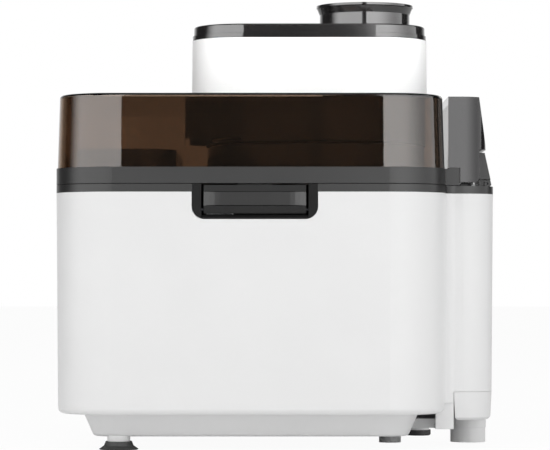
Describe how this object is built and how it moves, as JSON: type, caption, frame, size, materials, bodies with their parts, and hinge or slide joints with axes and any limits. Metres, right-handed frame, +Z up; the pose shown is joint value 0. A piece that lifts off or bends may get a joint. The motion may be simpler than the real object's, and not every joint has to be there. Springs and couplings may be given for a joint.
{
  "type": "centrifugal juicer",
  "caption": "Box-shaped electric centrifugal juicer with a smoked hinged lid, chute and pusher on top, side column with a low juice nozzle, front latch and pulp bin.",
  "frame": {"origin": "on the worktop, under the middle of the whole object", "axes": "+Z up, +X to the side with the juice column, the front with the latch faces -Y"},
  "size_m": [0.368, 0.304, 0.3804],
  "materials": {
    "white_abs": "fine satin",
    "dark_abs": "satin",
    "smoked_polycarbonate": "glossy, see-through",
    "gloss_black": "polished",
    "clear_inner": "satin",
    "rubber": "matt",
    "stainless": "brushed",
    "steel": "ground",
    "laminations": "varnished",
    "copper": "enamelled wire",
    "die_cast": "as cast",
    "carbon": "dull",
    "board": "lacquered",
    "brass": "plain",
    "grey_plastic": "satin"
  },
  "bodies": {
    "housing": {"ball_bearings": "steel", "base_plinth": "white_abs", "base_screws": "steel", "brush_holders": "brass", "capacitor": "grey_plastic", "carbon_brushes": "carbon", "collector_bowl": "clear_inner", "control_board": "board", "deck_frame": "dark_abs", "duct_seal": "rubber", "field_windings": "copper", "hinge_pins": "steel", "housing_shell": "white_abs", "inlet_pins": "brass", "interlock_switch": "grey_plastic", "juice_duct": "grey_plastic", "juice_spout": "white_abs", "latch_bracket": "dark_abs", "latch_pin": "steel", "latch_spring": "steel", "lower_end_bracket": "die_cast", "mains_inlet": "dark_abs", "motor_mounts": "rubber", "motor_screws": "steel", "plunger_spring": "steel", "rear_foot_pad": "rubber", "shaft_seal": "rubber", "stator_core": "laminations", "suction_cups": "rubber", "switch_body": "grey_plastic", "switch_pin": "steel", "upper_end_bracket": "die_cast"},
    "lid": {"lid_frame": "dark_abs", "lid_shell": "smoked_polycarbonate", "lid_pod": "smoked_polycarbonate", "chamber_cover": "clear_inner", "lid_seal": "rubber", "hopper_shroud": "white_abs", "feed_tray": "gloss_black", "feed_chute": "clear_inner"},
    "pusher": {"pusher": "gloss_black", "pusher_cap": "gloss_black"},
    "latch": {"latch_paddle": "dark_abs"},
    "rotor": {"motor_shaft": "steel", "armature_core": "laminations", "armature_windings": "copper", "commutator": "copper", "cooling_fan": "grey_plastic", "drive_coupling": "grey_plastic", "filter_basket": "stainless", "grater_disc": "stainless", "basket_knob": "dark_abs"},
    "switch": {"switch_paddle": "dark_abs"},
    "interlock": {"interlock_plunger": "grey_plastic"},
    "bin": {"pulp_bin": "clear_inner"}
  },
  "joints": [
    {"name": "lid_hinge", "type": "hinge", "parent": "housing", "child": "lid", "pos_m": [0, 0.147, 0.22], "axis": [-1, 0, 0], "range_deg": [0, 80]},
    {"name": "pusher_slide", "type": "slide", "parent": "lid", "child": "pusher", "axis": [0, 0, 1], "range_m": [0, 0.1]},
    {"name": "latch_hinge", "type": "hinge", "parent": "housing", "child": "latch", "pos_m": [-0.0175, -0.1456, 0.1988], "axis": [1, 0, 0], "range_deg": [0, 14], "stiffness_Nm_per_rad": 0.3, "springref_deg": -11.46},
    {"name": "rotor_spin", "type": "hinge", "parent": "housing", "child": "rotor", "pos_m": [0.036, -0.004, 0.15], "axis": [0, 0, 1], "continuous": true},
    {"name": "switch_hinge", "type": "hinge", "parent": "housing", "child": "switch", "pos_m": [0.18, -0.034, 0.223], "axis": [0, 1, 0], "range_deg": [0, 6]},
    {"name": "interlock_slide", "type": "slide", "parent": "housing", "child": "interlock", "axis": [0, 0, 1], "range_m": [-0.002, 0], "stiffness_N_per_m": 200, "springref_m": 0.001, "deforming": ["plunger_spring"]},
    {"name": "bin_lift", "type": "slide", "parent": "housing", "child": "bin", "axis": [0, 0, 1], "range_m": [0, 0.02]}
  ]
}
